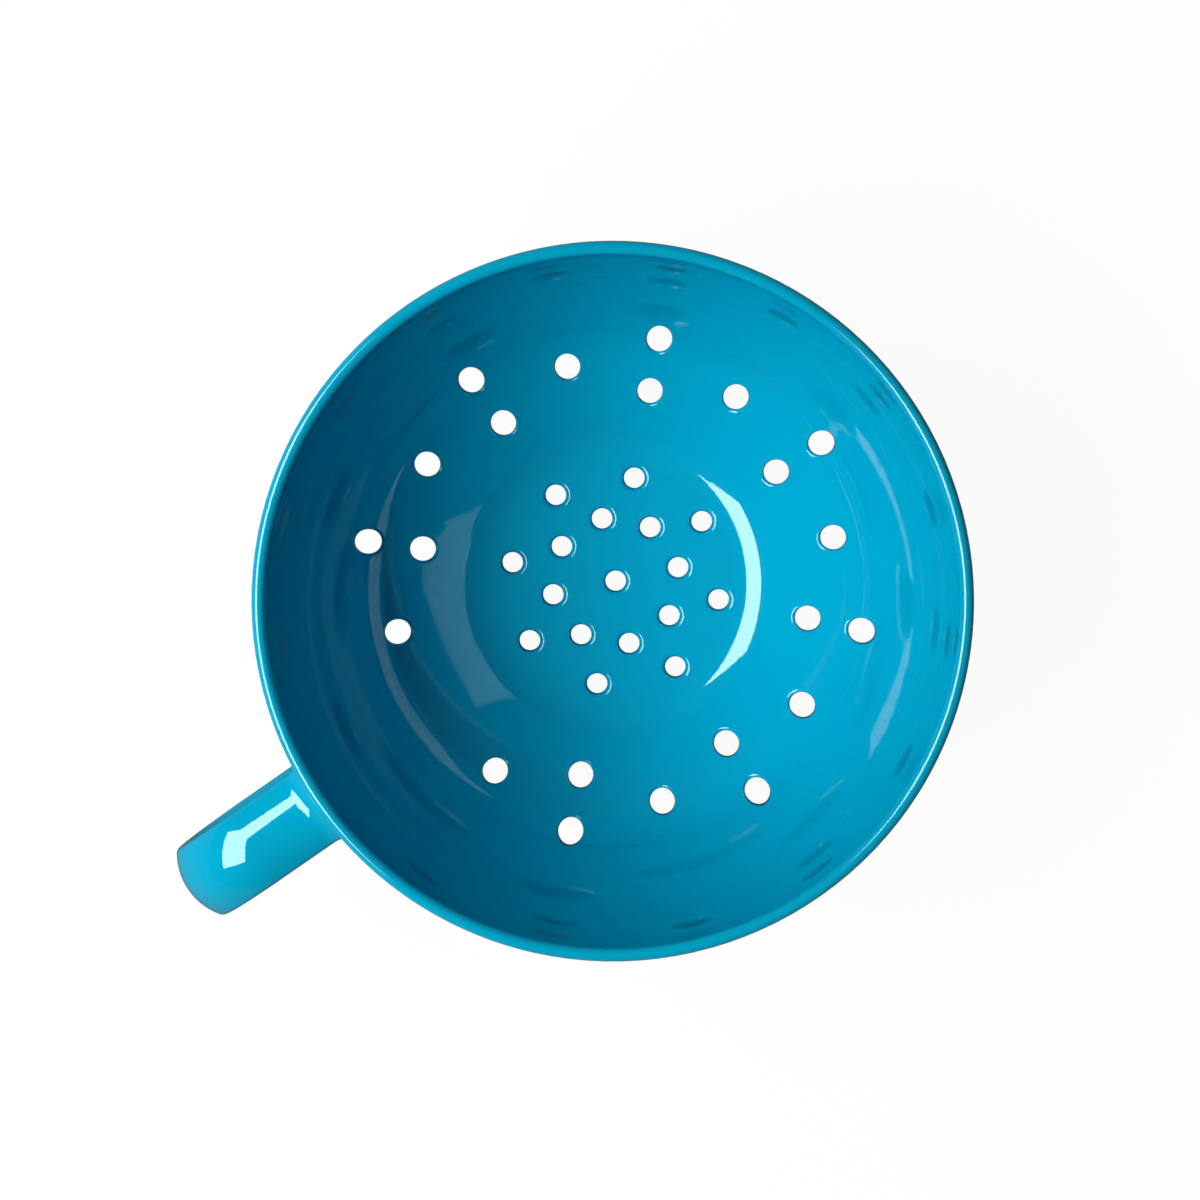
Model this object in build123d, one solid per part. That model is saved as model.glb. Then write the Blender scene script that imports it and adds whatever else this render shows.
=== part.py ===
from build123d import *

import os
from math import asin, atan2, cos, hypot, pi, radians, sin, sqrt, tan

# Berry colander bowl: a round pierced bowl, a foot ring under it and a loop handle at its side.
# Millimetres. The bowl's axis is +Z, the foot stands on Z = 0 and the handle points along +X.

# Bowl
RIM_DIAMETER = 160.0  # outside of the lip
BOWL_DEPTH = 78.0  # inside, from the top of the lip down to the floor
FLOOR_DIAMETER = 66.6  # inside, where the line of the wall would meet the flat floor
COVE_RADIUS = 15.0  # hollow curve between the floor and the wall
BELLY_RADIUS = 22.0  # hollow curve between the straight lower wall and the upper wall
KNEE_INSET = 15.4  # level, from the inside of the rim to the foot of the upper wall
KNEE_HEIGHT = 21.5  # from the floor up to the foot of the upper wall
WALL = 3.0
FLOOR_THICKNESS = 3.5

# Drain holes, all bored straight down
HOLES_PER_RING = 8
FLOOR_HOLE = 5.0
FLOOR_RING_MARGIN = 0.8  # from the outer ring of floor holes to the start of the cove
FLOOR_RING_STEP = 9.9  # from the inner ring of floor holes to the outer one
WALL_HOLE = 6.0
WALL_RING_MARGIN = 9.9  # level, from the end of the cove to the first ring
WALL_RING_STEP = 6.3  # level, from ring to ring
FLOOR_HOLE_LIP = 1.2  # rounding of a floor hole's edge inside the bowl
WALL_HOLE_LIP = 0.6  # rounding of a wall hole's edge inside the bowl
HOLE_BREAK = 0.4  # rounding of a hole's edge outside the bowl

# Foot ring
FOOT_HEIGHT = 5.0  # clear height under the flat of the bowl
FOOT_WALL = 4.0
FOOT_MARGIN = 2.3  # from the outer ring of floor holes to the foot's inner side, where it stands
FOOT_DRAFT = 1.0  # widening of each side from the standing face up to the bowl
FOOT_EDGE = 1.2  # rounding beside the standing face

# Handle
HANDLE_WIDTH = 18.6
HANDLE_THICKNESS = 7.5
HANDLE_CROWN = 3.2  # bulge of the outer face across its width
HANDLE_EDGE = 1.8  # rounding along the four edges
HANDLE_DROP = 9.5  # from the top of the lip down to the top of the strap
HANDLE_REACH = 39.0  # from the outside of the lip to the tip
HANDLE_HEIGHT = 37.0  # from the top of the strap down to its lowest point
HANDLE_SWEEP = 19.0  # radius of the gentle curve in each run, at the middle of the strap
HANDLE_EASE = 35.0  # degrees turned by that curve before the tight bend at the tip
ROOT_FILLET = 5.0  # hollow curve where the handle meets the bowl
ROOT_STEP = 0.2  # height at which the wall cuts that curve, so that the handle ends in a clean edge

# Heights and lines that follow from those sizes, the lines as radius and height
FLOOR_TOP = FOOT_HEIGHT + FLOOR_THICKNESS
RIM_TOP = FLOOR_TOP + BOWL_DEPTH
LIP_RADIUS = WALL / 2
UPRIGHT = RIM_TOP - LIP_RADIUS  # the wall is vertical at this height, where the round lip starts
RIM_OUTER = RIM_DIAMETER / 2
RIM_INNER = RIM_OUTER - WALL
WALL_FOOT = Vector(FLOOR_DIAMETER / 2, FLOOR_TOP)
KNEE_POINT = Vector(RIM_INNER - KNEE_INSET, FLOOR_TOP + KNEE_HEIGHT)
UPPER_RISE = UPRIGHT - KNEE_POINT.Y
UPPER_RADIUS = (KNEE_INSET**2 + UPPER_RISE**2) / (2 * KNEE_INSET)  # the upper wall is upright at the lip
UPPER_CENTRE = Vector(RIM_INNER - UPPER_RADIUS, UPRIGHT)
KNEE = asin((KNEE_POINT.X - UPPER_CENTRE.X) / UPPER_RADIUS)  # slope where the belly and the upper wall meet
BELLY_CENTRE = KNEE_POINT + (UPPER_CENTRE - KNEE_POINT).normalized() * BELLY_RADIUS
TO_BELLY = BELLY_CENTRE - WALL_FOOT
SLOPE = atan2(TO_BELLY.Y, TO_BELLY.X) - asin(BELLY_RADIUS / TO_BELLY.length)  # of the straight lower wall
STRAIGHT = sqrt(TO_BELLY.length**2 - BELLY_RADIUS**2)  # from the wall's foot up to the belly
ALONG = Vector(cos(SLOPE), sin(SLOPE))  # up the straight lower wall
OUTWARD = Vector(sin(SLOPE), -cos(SLOPE))  # square to it, out of the bowl
COVE_RUN = COVE_RADIUS * tan(SLOPE / 2)
COVE_START = WALL_FOOT.X - COVE_RUN
COVE_END = WALL_FOOT + ALONG * COVE_RUN
FLOOR_RING_LAST = COVE_START - FLOOR_RING_MARGIN - FLOOR_HOLE / 2
FLOOR_RING_FIRST = FLOOR_RING_LAST - FLOOR_RING_STEP
HALF_TURN = 180.0  # degrees
PITCH = 2 * HALF_TURN / HOLES_PER_RING
SEAM = HALF_TURN + PITCH / 4  # direction of the turned faces' seam, clear of the handle and of every hole

# Most that a rounding may take of the wall, the foot or the strap that carries it
LIP_SHARE = 0.4
BREAK_SHARE = 0.15
EDGE_SHARE = 0.42

# Tests by which the edges of the holes are told from the other edges
LONGEST_HOLE_EDGE = 2 * pi * max(FLOOR_HOLE, WALL_HOLE)
EDGE_SAMPLE = 0.3
NEAR_SURFACE = WALL / 10


def on_arc(centre, radius, slope):
    """Point of an arc where it has a slope."""
    return centre + Vector(sin(slope), -cos(slope)) * radius


def wall_line(start, depth=0.0):
    """Line of the wall from a point of its straight part up to the lip, at a depth behind the inside surface."""
    top = WALL_FOOT + ALONG * STRAIGHT + OUTWARD * depth
    knee = on_arc(UPPER_CENTRE, UPPER_RADIUS + depth, KNEE)
    brim = (RIM_INNER + depth, UPRIGHT)
    straight = Line(start, top)
    belly = RadiusArc(top, knee, -(BELLY_RADIUS + depth))
    upper = RadiusArc(knee, brim, -(UPPER_RADIUS + depth))
    return [straight, belly, upper]


def flat_edge(depth=WALL):
    """Where the lower wall, at a depth behind its inside surface, meets the flat underside."""
    point = WALL_FOOT + OUTWARD * depth
    return point + ALONG * ((FOOT_HEIGHT - point.Y) / ALONG.Y)


def turned(*edges):
    """Solid of revolution about Z from a closed outline of radius and height."""
    return Rot(0, 0, SEAM) * revolve(Plane.XZ * make_face(edges), Axis.Z)


def bowl_outside(depth=WALL):
    """The bowl as a full solid with no hollow, bounded by its outside or by a surface a little inside that."""
    flat = flat_edge(depth)
    brim = (RIM_INNER + depth, UPRIGHT)
    return turned(
        Line((0, FOOT_HEIGHT), flat),
        *wall_line(flat, depth),
        Line(brim, (0, UPRIGHT)),
        Line((0, UPRIGHT), (0, FOOT_HEIGHT)),
    )


def bowl_shell():
    """Wall, floor, cove and round lip in one turned solid, before it is pierced."""
    flat = flat_edge()
    return turned(
        Line((0, FOOT_HEIGHT), flat),
        *wall_line(flat, WALL),
        ThreePointArc((RIM_OUTER, UPRIGHT), (RIM_OUTER - LIP_RADIUS, RIM_TOP), (RIM_INNER, UPRIGHT)),
        *wall_line(COVE_END),
        RadiusArc((COVE_START, FLOOR_TOP), COVE_END, -COVE_RADIUS),
        Line((COVE_START, FLOOR_TOP), (0, FLOOR_TOP)),
        Line((0, FLOOR_TOP), (0, FOOT_HEIGHT)),
    )


def ring(radius, turn=0.0, first=0):
    """Places of one ring of holes. A ring that starts at 1 leaves out the place beside the handle."""
    angles = [radians(turn + PITCH * i) for i in range(first, HOLES_PER_RING)]
    return [(radius * cos(angle), radius * sin(angle)) for angle in angles]


def wall_ring_radius(index):
    """Radius of a ring of holes in the wall, counted upwards from the cove."""
    return COVE_END.X + WALL_RING_MARGIN + index * WALL_RING_STEP


def floor_places():
    """Places of the floor's holes: one in the middle and two rings, turned by half a pitch to each other."""
    return [(0, 0)] + ring(FLOOR_RING_FIRST, turn=PITCH / 2) + ring(FLOOR_RING_LAST)


def wall_places():
    """Places of the wall's holes: pairs, one above the other, with single holes between them."""
    lower = ring(wall_ring_radius(0), first=1)
    middle = ring(wall_ring_radius(1), turn=PITCH / 2)
    upper = ring(wall_ring_radius(2), first=1)
    return lower + middle + upper


def bores(places, diameter):
    """Upright cylinders that bore the holes at these places."""
    bore = Cylinder(diameter / 2, RIM_TOP, align=(Align.CENTER, Align.CENTER, Align.MIN))
    return [Pos(x, y, 0) * bore for x, y in places]


def depth_in_wall(point):
    """Distance of a point behind the inside surface of the wall."""
    place = Vector(hypot(point.X, point.Y), point.Z)
    from_belly = place - BELLY_CENTRE
    from_upper = place - UPPER_CENTRE
    if atan2(from_upper.X, -from_upper.Y) > KNEE:
        return from_upper.length - UPPER_RADIUS
    if from_belly.dot(ALONG) > 0:
        return from_belly.length - BELLY_RADIUS
    return (place - WALL_FOOT).dot(OUTWARD)


def opens_inside(edge):
    """True for the edge of a hole that lies on the inside of the bowl."""
    middle = edge.bounding_box().center()
    above_floor = middle.Z > FLOOR_TOP - FLOOR_THICKNESS / 2
    return above_floor and depth_in_wall(middle) < WALL / 2


def on_floor(edge):
    """True for the edge of a hole that lies on the flat floor inside the bowl."""
    return edge.length < LONGEST_HOLE_EDGE and abs(edge.center().Z - FLOOR_TOP) < NEAR_SURFACE


def opens_outside(edge):
    """True for the edge of a hole that lies on the wall's outside or on the flat underside."""
    point = edge @ EDGE_SAMPLE
    on_wall = depth_in_wall(point) > WALL - NEAR_SURFACE
    on_flat = point.Z < FOOT_HEIGHT + NEAR_SURFACE
    return edge.length < LONGEST_HOLE_EDGE and (on_wall or on_flat)


def make_bowl():
    """The pierced bowl, with soft edges on every hole."""
    shell = bowl_shell()
    cutters = bores(floor_places(), FLOOR_HOLE) + bores(wall_places(), WALL_HOLE)
    pierced = shell - cutters
    inside = new_edges(shell, *cutters, combined=pierced).filter_by(opens_inside)
    wall_lips = inside - inside.filter_by(on_floor)
    softened = fillet(wall_lips, min(WALL_HOLE_LIP, LIP_SHARE * WALL))
    floor_lips = softened.edges().filter_by(on_floor)
    softened = fillet(floor_lips, min(FLOOR_HOLE_LIP, LIP_SHARE * FLOOR_THICKNESS))
    return fillet(softened.edges().filter_by(opens_outside), min(HOLE_BREAK, BREAK_SHARE * WALL))


def make_foot_ring():
    """The ring that the bowl stands on, seated against the bowl's underside."""
    inner = FLOOR_RING_LAST + FLOOR_HOLE / 2 + FOOT_MARGIN
    outer = inner + FOOT_WALL
    climb = (outer + FOOT_DRAFT - flat_edge().X) * tan(SLOPE)
    seat = FOOT_HEIGHT + max(climb, 0) + FOOT_DRAFT
    outline = Polyline(
        (inner, 0),
        (outer, 0),
        (outer + FOOT_DRAFT, seat),
        (inner - FOOT_DRAFT, seat),
        close=True,
    )
    section = make_face(outline)
    section = fillet(section.vertices().group_by(Axis.Y)[0], min(FOOT_EDGE, EDGE_SHARE * FOOT_WALL))
    return revolve(Plane.XZ * section, Axis.Z) - bowl_outside()


def handle_path():
    """Middle line of the strap, an oval loop that starts and ends inside the bowl."""
    ease = radians(HANDLE_EASE)
    top = RIM_TOP - HANDLE_DROP - HANDLE_THICKNESS / 2
    height = HANDLE_HEIGHT - HANDLE_THICKNESS
    tip_bend = (height / 2 - HANDLE_SWEEP * (1 - cos(ease))) / cos(ease)
    tip = RIM_OUTER + HANDLE_REACH - HANDLE_THICKNESS / 2
    bend_start = tip - tip_bend * (1 - sin(ease)) - HANDLE_SWEEP * sin(ease)
    inside = RIM_OUTER / 2
    upper_run = Line((inside, top), (bend_start, top))
    upper = JernArc(upper_run @ 1, upper_run % 1, HANDLE_SWEEP, -HANDLE_EASE)
    end = JernArc(upper @ 1, upper % 1, tip_bend, 2 * HANDLE_EASE - HALF_TURN)
    lower = JernArc(end @ 1, end % 1, HANDLE_SWEEP, -HANDLE_EASE)
    lower_run = Line(lower @ 1, (inside, top - height))
    return Plane.XZ * Wire([upper_run, upper, end, lower, lower_run])


def handle_section():
    """Section of the strap: flat inside, crowned outside, with rounded edges."""
    half_width = HANDLE_WIDTH / 2
    half = HANDLE_THICKNESS / 2
    shoulder = half - HANDLE_CROWN
    left = (-half_width, shoulder)
    right = (half_width, shoulder)
    sides = Polyline(left, (-half_width, -half), (half_width, -half), right)
    crown = ThreePointArc(right, (0, half), left)
    section = make_face([*sides.edges(), crown])
    return fillet(section.vertices(), min(HANDLE_EDGE, EDGE_SHARE * (half + shoulder)))


def make_handle():
    """The loop handle, flared where it meets the bowl and ending on the bowl's outside surface."""
    path = handle_path()
    start = Plane(origin=path @ 0, x_dir=(0, 1, 0), z_dir=path % 0)
    strap = sweep(start * handle_section(), path)
    core = bowl_outside(WALL - ROOT_STEP)
    joined = core + strap
    roots = new_edges(core, strap, combined=joined)
    return fillet(roots, ROOT_FILLET) - bowl_outside()


PIECES = {
    "bowl": make_bowl,
    "foot_ring": make_foot_ring,
    "handle": make_handle,
}

os.makedirs("parts", exist_ok=True)
for name, make in PIECES.items():
    export_step(make(), f"parts/{name}.step")
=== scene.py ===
from math import cos, radians, sin

import bpy
from mathutils import Euler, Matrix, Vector


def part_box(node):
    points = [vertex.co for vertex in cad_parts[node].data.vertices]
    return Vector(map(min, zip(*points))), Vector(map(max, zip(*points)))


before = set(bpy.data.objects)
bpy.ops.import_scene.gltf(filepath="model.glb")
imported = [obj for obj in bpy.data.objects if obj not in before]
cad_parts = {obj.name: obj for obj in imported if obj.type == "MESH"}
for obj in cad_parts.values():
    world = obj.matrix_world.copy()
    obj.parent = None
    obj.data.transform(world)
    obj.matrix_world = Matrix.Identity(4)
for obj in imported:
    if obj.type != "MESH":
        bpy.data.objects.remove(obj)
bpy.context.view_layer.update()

bl_info = {
    "name": "Berry Colander Bowl",
    "version": (1, 0, 0),
    "blender": (4, 5, 0),
    "location": "3D View > Sidebar > Berry Bowl",
    "description": "Gives the pierced berry bowl its glossy melamine finish and sets up its studio",
    "category": "Object",
}

RIM_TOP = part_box("bowl")[1].z
WHITE = (1.0, 1.0, 1.0, 1.0)
QUARTER_TURN = radians(90)
NODE_STEP = 220  # spacing of the shader nodes in their editor

# Moulded surface
CLOUDS = 22.0  # clouds of colour in a metre of resin
CLOUD_DETAIL = 3.0
CLOUD_BREAKUP = 0.55
CLOUD_MEAN = 0.5  # middle of the cloud texture, where the colour is as set
STREAKS = 900.0  # polish marks in a metre across them
STREAK_BREAKS = 60.0  # breaks in a metre along the marks of the strap
STREAK_DETAIL = 4.0
STREAK_BREAKUP = 0.6
HAZE_FROM = (0.3, 0.7)  # shallowest and deepest mark that count
HAZE_TO = (0.7, 1.3)  # share of the roughness at those marks

# Paper
PAPER_SIDES = 128
CURVE_STEPS = 8  # strips of the curve between the floor and the backdrop
PAINTED_SHADE_REACH = 2 * RIM_TOP  # reach of the painted shade (ambient occlusion) that darkens the paper that the bowl mirrors
PAINTED_SHADE_POWER = 3.0  # how fast the painted shade darkens the mirrored paper under the bowl


class MelamineFinish(bpy.types.PropertyGroup):
    """Colour and surface of the moulded melamine."""

    blue: bpy.props.FloatVectorProperty(
        name="Blue",
        description="Colour of the melamine",
        subtype="COLOR",
        size=4,
        min=0.0,
        max=1.0,
        default=(0.0, 0.35, 0.54, 1.0),
    )
    depth: bpy.props.FloatProperty(
        name="Colour depth",
        description="How much the colour drifts where the resin flowed in the mould",
        subtype="FACTOR",
        min=0.0,
        max=0.5,
        default=0.06,
    )
    roughness: bpy.props.FloatProperty(
        name="Roughness",
        description="Roughness of the polished surface",
        subtype="FACTOR",
        min=0.0,
        max=1.0,
        default=0.04,
    )
    refraction: bpy.props.FloatProperty(
        name="Refractive index",
        description="Refractive index of the clear resin, which sets the strength of the gloss",
        min=1.0,
        max=2.5,
        default=1.67,
    )
    gloss_tint: bpy.props.FloatVectorProperty(
        name="Gloss tint",
        description="Colour that the blue resin gives to what it mirrors",
        subtype="COLOR",
        size=4,
        min=0.0,
        max=1.0,
        default=(0.8, 0.97, 1.0, 1.0),
    )
    marks: bpy.props.FloatProperty(
        name="Polish marks",
        description="Height of the marks that the polished mould leaves",
        unit="LENGTH",
        min=0.0,
        default=0.000004,
        precision=6,
    )


class StudioSettings(bpy.types.PropertyGroup):
    """Camera, lamps and floor."""

    lens: bpy.props.FloatProperty(
        name="Lens",
        description="Focal length of the camera in millimetres",
        min=1.0,
        default=108.6,
    )
    distance: bpy.props.FloatProperty(
        name="Camera distance",
        description="From the camera to the middle of the rim",
        unit="LENGTH",
        default=0.8,
    )
    tilt: bpy.props.FloatVectorProperty(
        name="Camera tilt",
        description="Turn of the camera about its own width, its own height and the bowl's axis",
        subtype="EULER",
        default=(radians(-4.006), radians(0.798), radians(145.19)),
    )
    aside: bpy.props.FloatVectorProperty(
        name="Rim in view",
        description="Distance of the rim's middle to the right of and above the middle of the picture",
        size=2,
        unit="LENGTH",
        default=(0.0027, -0.0009),
    )
    softbox_size: bpy.props.FloatVectorProperty(
        name="Softbox size",
        description="Width and depth of the lit panel",
        size=2,
        unit="LENGTH",
        default=(1.05, 0.6),
    )
    softbox_place: bpy.props.FloatVectorProperty(
        name="Softbox place",
        description="Distance of the panel's middle from the bowl's axis and its height over the floor",
        size=2,
        unit="LENGTH",
        default=(0.68, 0.99),
    )
    softbox_turn: bpy.props.FloatProperty(
        name="Softbox direction",
        description="Direction of the panel from the bowl, counted from the handle",
        subtype="ANGLE",
        default=radians(-28.5),
    )
    softbox_lean: bpy.props.FloatProperty(
        name="Softbox lean",
        description="How far the panel leans from level towards the bowl",
        subtype="ANGLE",
        default=radians(37.0),
    )
    softbox_power: bpy.props.FloatProperty(
        name="Softbox power",
        description="Light of the panel in watts",
        unit="POWER",
        min=0.0,
        default=18.8,
    )
    room_light: bpy.props.FloatProperty(
        name="Room light",
        description="Brightness of the dim room round the studio",
        min=0.0,
        default=0.025,
    )
    floor_radius: bpy.props.FloatProperty(
        name="Floor radius",
        description="Radius of the flat floor, before it curves up into the backdrop",
        unit="LENGTH",
        default=2.6,
    )
    backdrop_curve: bpy.props.FloatProperty(
        name="Backdrop curve",
        description="Radius of the hollow curve between the floor and the backdrop",
        unit="LENGTH",
        default=0.6,
    )
    backdrop_height: bpy.props.FloatProperty(
        name="Backdrop height",
        description="Height of the backdrop above its curve",
        unit="LENGTH",
        default=0.6,
    )
    paper: bpy.props.FloatVectorProperty(
        name="Paper",
        description="Colour of the floor and the backdrop",
        subtype="COLOR",
        size=4,
        min=0.0,
        max=1.0,
        default=(0.8, 0.8, 0.8, 1.0),
    )
    paper_white: bpy.props.FloatProperty(
        name="Paper white",
        description="Brightness of the paper in the picture, where the bowl shades it fully",
        subtype="FACTOR",
        min=0.0,
        max=1.0,
        default=0.95,
    )
    paper_mirrored: bpy.props.FloatProperty(
        name="Paper in reflections",
        description="Brightness of the open paper where the glossy bowl mirrors it",
        subtype="FACTOR",
        min=0.0,
        max=1.0,
        default=0.12,
    )


def add_node(tree, kind, column, row=0, **settings):
    """A node in a tree, at a place in its editor, with its settings."""
    node = tree.nodes.new(kind)
    node.location = (column * NODE_STEP, -row * NODE_STEP)
    for name, value in settings.items():
        setattr(node, name, value)
    return node


def fill(node, **values):
    """Sets the unlinked inputs of a node by their names, with underscores for spaces."""
    for name, value in values.items():
        node.inputs[name.replace("_", " ")].default_value = value
    return node


def new_group(name, inputs, outputs):
    """An empty shader node group with named sockets, and its input and output nodes."""
    group = bpy.data.node_groups.new(name, "ShaderNodeTree")
    for direction, sockets in (("INPUT", inputs), ("OUTPUT", outputs)):
        for socket, kind in sockets.items():
            group.interface.new_socket(socket, in_out=direction, socket_type=f"NodeSocket{kind}")
    source = add_node(group, "NodeGroupInput", 0)
    sink = add_node(group, "NodeGroupOutput", 6)
    return group, source, sink


def new_material(name):
    """A material with an empty node tree."""
    material = bpy.data.materials.new(name)
    material.use_nodes = True
    material.node_tree.nodes.clear()
    return material


def resin_flow_group():
    """Slow drift of a moulded colour, deeper and paler in soft clouds."""
    group, source, sink = new_group(
        "Resin flow",
        {"Vector": "Vector", "Colour": "Color", "Depth": "Float"},
        {"Colour": "Color"},
    )
    link = group.links.new
    clouds = add_node(group, "ShaderNodeTexNoise", 1)
    fill(clouds, Scale=CLOUDS, Detail=CLOUD_DETAIL, Roughness=CLOUD_BREAKUP)
    centred = add_node(group, "ShaderNodeMath", 2, operation="SUBTRACT")
    centred.inputs[1].default_value = CLOUD_MEAN
    drift = add_node(group, "ShaderNodeMath", 3, operation="MULTIPLY_ADD")
    drift.inputs[2].default_value = 1.0
    shade = add_node(group, "ShaderNodeVectorMath", 4, operation="SCALE")
    link(source.outputs["Vector"], clouds.inputs["Vector"])
    link(clouds.outputs["Fac"], centred.inputs[0])
    link(centred.outputs[0], drift.inputs[0])
    link(source.outputs["Depth"], drift.inputs[1])
    link(source.outputs["Colour"], shade.inputs[0])
    link(drift.outputs[0], shade.inputs["Scale"])
    link(shade.outputs["Vector"], sink.inputs["Colour"])
    return group


def mould_polish_group():
    """Fine streaks of a polished mould along one direction, and the faint haze between them."""
    group, source, sink = new_group(
        "Mould polish",
        {"Streak": "Vector", "Roughness": "Float"},
        {"Roughness": "Float", "Height": "Float"},
    )
    link = group.links.new
    streaks = add_node(group, "ShaderNodeTexNoise", 1)
    fill(streaks, Scale=1.0, Detail=STREAK_DETAIL, Roughness=STREAK_BREAKUP)
    haze = add_node(group, "ShaderNodeMapRange", 2, 1)
    fill(haze, From_Min=HAZE_FROM[0], From_Max=HAZE_FROM[1], To_Min=HAZE_TO[0], To_Max=HAZE_TO[1])
    dulled = add_node(group, "ShaderNodeMath", 3, 1, operation="MULTIPLY")
    link(source.outputs["Streak"], streaks.inputs["Vector"])
    link(streaks.outputs["Fac"], haze.inputs["Value"])
    link(haze.outputs["Result"], dulled.inputs[0])
    link(source.outputs["Roughness"], dulled.inputs[1])
    link(dulled.outputs[0], sink.inputs["Roughness"])
    link(streaks.outputs["Fac"], sink.inputs["Height"])
    return group


def shared_group(name, make):
    """The node group of that name, made the first time that it is needed."""
    return bpy.data.node_groups.get(name) or make()


def turned_streaks(tree, place):
    """Streak directions that run round the bowl's axis."""
    link = tree.links.new
    split = add_node(tree, "ShaderNodeSeparateXYZ", 1, 2)
    flat = add_node(tree, "ShaderNodeCombineXYZ", 2, 2)
    radius = add_node(tree, "ShaderNodeVectorMath", 3, 2, operation="LENGTH")
    rings = add_node(tree, "ShaderNodeCombineXYZ", 4, 2)
    fine = fill(add_node(tree, "ShaderNodeVectorMath", 5, 2, operation="SCALE"), Scale=STREAKS)
    link(place.outputs["Object"], split.inputs[0])
    link(split.outputs["X"], flat.inputs["X"])
    link(split.outputs["Y"], flat.inputs["Y"])
    link(flat.outputs[0], radius.inputs[0])
    link(radius.outputs["Value"], rings.inputs["X"])
    link(split.outputs["Z"], rings.inputs["Y"])
    link(rings.outputs[0], fine.inputs[0])
    return fine.outputs["Vector"]


def lengthwise_streaks(tree, place):
    """Streak directions that run along the handle's strap."""
    stretch = fill(add_node(tree, "ShaderNodeMapping", 3, 2), Scale=(STREAK_BREAKS, STREAKS, STREAK_BREAKS))
    tree.links.new(place.outputs["Object"], stretch.inputs["Vector"])
    return stretch.outputs["Vector"]


def melamine(name, finish, streaks):
    """Glossy blue melamine with polish marks along the given streaks."""
    material = new_material(name)
    tree = material.node_tree
    link = tree.links.new
    place = add_node(tree, "ShaderNodeTexCoord", 0)
    flow = add_node(tree, "ShaderNodeGroup", 6, node_tree=shared_group("Resin flow", resin_flow_group))
    fill(flow, Colour=finish.blue, Depth=finish.depth)
    polish_tree = shared_group("Mould polish", mould_polish_group)
    polish = add_node(tree, "ShaderNodeGroup", 6, 1, node_tree=polish_tree)
    fill(polish, Roughness=finish.roughness)
    bump = fill(add_node(tree, "ShaderNodeBump", 7, 1), Strength=1.0, Distance=finish.marks)
    gloss = add_node(tree, "ShaderNodeBsdfPrincipled", 8)
    fill(gloss, IOR=finish.refraction, Specular_Tint=finish.gloss_tint)
    sink = add_node(tree, "ShaderNodeOutputMaterial", 9)
    link(place.outputs["Object"], flow.inputs["Vector"])
    link(streaks(tree, place), polish.inputs["Streak"])
    link(flow.outputs["Colour"], gloss.inputs["Base Color"])
    link(polish.outputs["Roughness"], gloss.inputs["Roughness"])
    link(polish.outputs["Height"], bump.inputs["Height"])
    link(bump.outputs["Normal"], gloss.inputs["Normal"])
    link(gloss.outputs["BSDF"], sink.inputs["Surface"])
    return material


def dress(node, material):
    """Gives a CAD node its material."""
    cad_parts[node].material_slots[0].material = material


def studio_paper(studio):
    """White paper that keeps a faint shadow of the object, with painted shade under the bowl where the bowl
    mirrors it, and that isn't seen from below.
    """
    material = new_material("studio_paper")
    tree = material.node_tree
    link = tree.links.new
    rays = add_node(tree, "ShaderNodeLightPath", 0)
    # painted shade: ambient occlusion darkens the paper near the bowl as the glossy bowl mirrors it
    shade = fill(add_node(tree, "ShaderNodeAmbientOcclusion", 0, 2), Distance=PAINTED_SHADE_REACH)
    reflected = add_node(tree, "ShaderNodeMath", 1, 1, operation="MAXIMUM")
    dim = add_node(tree, "ShaderNodeMath", 1, 2, operation="POWER")
    dim.inputs[1].default_value = PAINTED_SHADE_POWER
    mirrored = add_node(tree, "ShaderNodeMath", 2, 2, operation="MULTIPLY")
    mirrored.inputs[1].default_value = studio.paper_mirrored
    reflected_white = add_node(tree, "ShaderNodeMath", 2, 1, operation="MULTIPLY")
    camera_white = add_node(tree, "ShaderNodeMath", 2, operation="MULTIPLY")
    camera_white.inputs[1].default_value = studio.paper_white
    strength = add_node(tree, "ShaderNodeMath", 3, 1, operation="MAXIMUM")
    seen = add_node(tree, "ShaderNodeMath", 3, operation="MAXIMUM")
    glow = fill(add_node(tree, "ShaderNodeEmission", 4, 1), Color=WHITE)
    lit = 1 - studio.paper_white
    faint = fill(add_node(tree, "ShaderNodeBsdfDiffuse", 4, 2), Color=(lit, lit, lit, 1.0))
    plain = fill(add_node(tree, "ShaderNodeBsdfDiffuse", 4, 3), Color=studio.paper)
    shown = add_node(tree, "ShaderNodeAddShader", 5, 1)
    front = add_node(tree, "ShaderNodeMixShader", 6, 1)
    side = add_node(tree, "ShaderNodeNewGeometry", 6)
    clear = add_node(tree, "ShaderNodeBsdfTransparent", 6, 2)
    both = add_node(tree, "ShaderNodeMixShader", 7, 1)
    sink = add_node(tree, "ShaderNodeOutputMaterial", 8, 1)
    link(rays.outputs["Is Glossy Ray"], reflected.inputs[0])
    link(rays.outputs["Is Transmission Ray"], reflected.inputs[1])
    link(reflected.outputs[0], reflected_white.inputs[0])
    link(shade.outputs["AO"], dim.inputs[0])
    link(dim.outputs[0], mirrored.inputs[0])
    link(mirrored.outputs[0], reflected_white.inputs[1])
    link(rays.outputs["Is Camera Ray"], camera_white.inputs[0])
    link(camera_white.outputs[0], strength.inputs[0])
    link(reflected_white.outputs[0], strength.inputs[1])
    link(rays.outputs["Is Camera Ray"], seen.inputs[0])
    link(reflected.outputs[0], seen.inputs[1])
    link(strength.outputs[0], glow.inputs["Strength"])
    link(glow.outputs[0], shown.inputs[0])
    link(faint.outputs[0], shown.inputs[1])
    link(seen.outputs[0], front.inputs[0])
    link(plain.outputs[0], front.inputs[1])
    link(shown.outputs[0], front.inputs[2])
    link(side.outputs["Backfacing"], both.inputs[0])
    link(front.outputs[0], both.inputs[1])
    link(clear.outputs[0], both.inputs[2])
    link(both.outputs[0], sink.inputs["Surface"])
    return material


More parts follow.
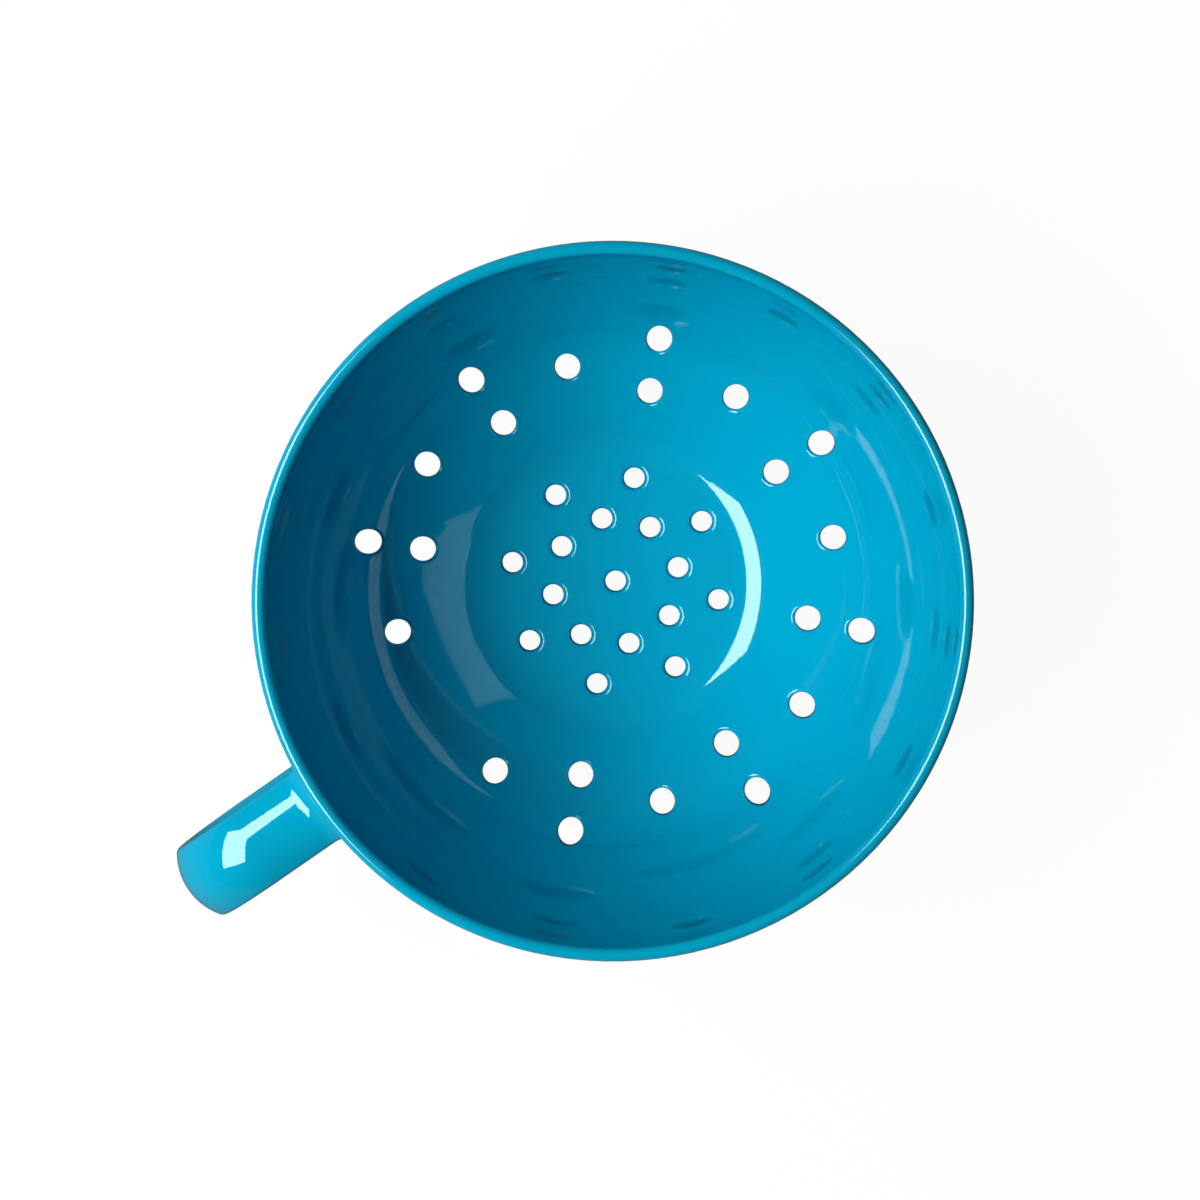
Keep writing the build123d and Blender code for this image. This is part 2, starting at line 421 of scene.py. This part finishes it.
def raise_edge(rise, spread=1.0):
    """Extrudes the selected edge loop upwards, and spreads it from the bowl's axis."""
    bpy.ops.mesh.extrude_edges_move(TRANSFORM_OT_translate={"value": (0, 0, rise)})
    bpy.ops.transform.resize(value=(spread, spread, 1))


def make_paper(studio):
    """Round sheet of paper under the bowl that curves up into a backdrop on all sides."""
    bpy.ops.object.select_all(action="DESELECT")
    reach, height = studio.floor_radius, 0.0
    bpy.ops.mesh.primitive_circle_add(
        vertices=PAPER_SIDES, radius=reach, fill_type="NGON", location=(0, 0, 0)
    )
    paper = bpy.context.object
    paper.name = "studio_paper"
    bpy.ops.object.mode_set(mode="EDIT")
    bpy.ops.mesh.select_mode(type="EDGE")
    bpy.ops.mesh.select_all(action="SELECT")
    bpy.ops.mesh.region_to_loop()
    for step in range(1, CURVE_STEPS + 1):
        turn = QUARTER_TURN * step / CURVE_STEPS
        new_reach = studio.floor_radius + studio.backdrop_curve * sin(turn)
        new_height = studio.backdrop_curve * (1 - cos(turn))
        raise_edge(new_height - height, new_reach / reach)
        reach, height = new_reach, new_height
    raise_edge(studio.backdrop_height)
    bpy.ops.mesh.select_all(action="SELECT")
    bpy.ops.mesh.normals_make_consistent(inside=True)
    bpy.ops.object.mode_set(mode="OBJECT")
    bpy.ops.object.shade_smooth()
    paper.data.materials.append(studio_paper(studio))


def make_softbox(studio):
    """The one large lit panel, beside and above the bowl."""
    bpy.ops.object.light_add(type="AREA")
    softbox = bpy.context.object
    softbox.name = "softbox"
    softbox.data.shape = "RECTANGLE"
    softbox.data.size, softbox.data.size_y = studio.softbox_size
    softbox.data.energy = studio.softbox_power
    softbox.visible_camera = False
    away, height = studio.softbox_place
    turn = Euler((0, 0, studio.softbox_turn)).to_matrix()
    softbox.location = turn @ Vector((away, 0, height))
    softbox.rotation_euler = (studio.softbox_lean, 0, studio.softbox_turn + QUARTER_TURN)


def make_room(studio):
    """Dim even light from all round."""
    world = bpy.context.scene.world or bpy.data.worlds.new("studio_room")
    bpy.context.scene.world = world
    world.use_nodes = True
    fill(world.node_tree.nodes["Background"], Color=WHITE, Strength=studio.room_light)


def make_camera(studio):
    """Camera that looks down into the bowl with the handle at the lower left."""
    turn = Euler(studio.tilt, "XYZ")
    right, above = studio.aside
    rim = Vector((0, 0, RIM_TOP))
    bpy.ops.object.camera_add(rotation=turn)
    camera = bpy.context.object
    camera.location = rim - turn.to_matrix() @ Vector((right, above, -studio.distance))
    camera.data.lens = studio.lens
    bpy.context.scene.camera = camera


class BERRYBOWL_OT_finish_bowl(bpy.types.Operator):
    """Polish the pierced bowl with marks that run round its axis"""

    bl_idname = "berry_bowl.finish_bowl"
    bl_label = "Finish Bowl"

    def execute(self, context):
        dress("bowl", melamine("bowl_melamine", context.scene.melamine_finish, turned_streaks))
        return {"FINISHED"}


class BERRYBOWL_OT_finish_handle(bpy.types.Operator):
    """Polish the loop handle with marks that run along its strap"""

    bl_idname = "berry_bowl.finish_handle"
    bl_label = "Finish Handle"

    def execute(self, context):
        dress("handle", melamine("handle_melamine", context.scene.melamine_finish, lengthwise_streaks))
        return {"FINISHED"}


class BERRYBOWL_OT_finish_foot_ring(bpy.types.Operator):
    """Polish the foot ring with marks that run round its axis"""

    bl_idname = "berry_bowl.finish_foot_ring"
    bl_label = "Finish Foot Ring"

    def execute(self, context):
        dress("foot_ring", melamine("foot_melamine", context.scene.melamine_finish, turned_streaks))
        return {"FINISHED"}


class BERRYBOWL_OT_set_stage(bpy.types.Operator):
    """Lay the paper and set up the softbox, the room light and the camera"""

    bl_idname = "berry_bowl.set_stage"
    bl_label = "Set Stage"

    def execute(self, context):
        studio = context.scene.bowl_studio
        make_paper(studio)
        make_softbox(studio)
        make_room(studio)
        make_camera(studio)
        context.scene.view_settings.view_transform = "Standard"
        return {"FINISHED"}


class BERRYBOWL_PT_sidebar(bpy.types.Panel):
    """Sidebar panel of the berry bowl"""

    bl_idname = "BERRYBOWL_PT_sidebar"
    bl_label = "Berry Bowl"
    bl_space_type = "VIEW_3D"
    bl_region_type = "UI"
    bl_category = "Berry Bowl"

    def draw(self, context):
        layout = self.layout
        for settings in (context.scene.melamine_finish, context.scene.bowl_studio):
            for name in settings.__annotations__:
                layout.prop(settings, name)
        for operator in OPERATORS:
            layout.operator(operator.bl_idname)


OPERATORS = (
    BERRYBOWL_OT_finish_bowl,
    BERRYBOWL_OT_finish_handle,
    BERRYBOWL_OT_finish_foot_ring,
    BERRYBOWL_OT_set_stage,
)
CLASSES = (MelamineFinish, StudioSettings, *OPERATORS, BERRYBOWL_PT_sidebar)


def register():
    """Adds the settings, the operators and the panel."""
    for cls in CLASSES:
        bpy.utils.register_class(cls)
    bpy.types.Scene.melamine_finish = bpy.props.PointerProperty(type=MelamineFinish)
    bpy.types.Scene.bowl_studio = bpy.props.PointerProperty(type=StudioSettings)


def unregister():
    """Takes the settings, the operators and the panel away again."""
    del bpy.types.Scene.bowl_studio
    del bpy.types.Scene.melamine_finish
    for cls in reversed(CLASSES):
        bpy.utils.unregister_class(cls)


def main():
    """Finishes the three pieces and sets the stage."""
    register()
    bpy.ops.berry_bowl.finish_bowl()
    bpy.ops.berry_bowl.finish_handle()
    bpy.ops.berry_bowl.finish_foot_ring()
    bpy.ops.berry_bowl.set_stage()


if __name__ == "__main__":
    main()
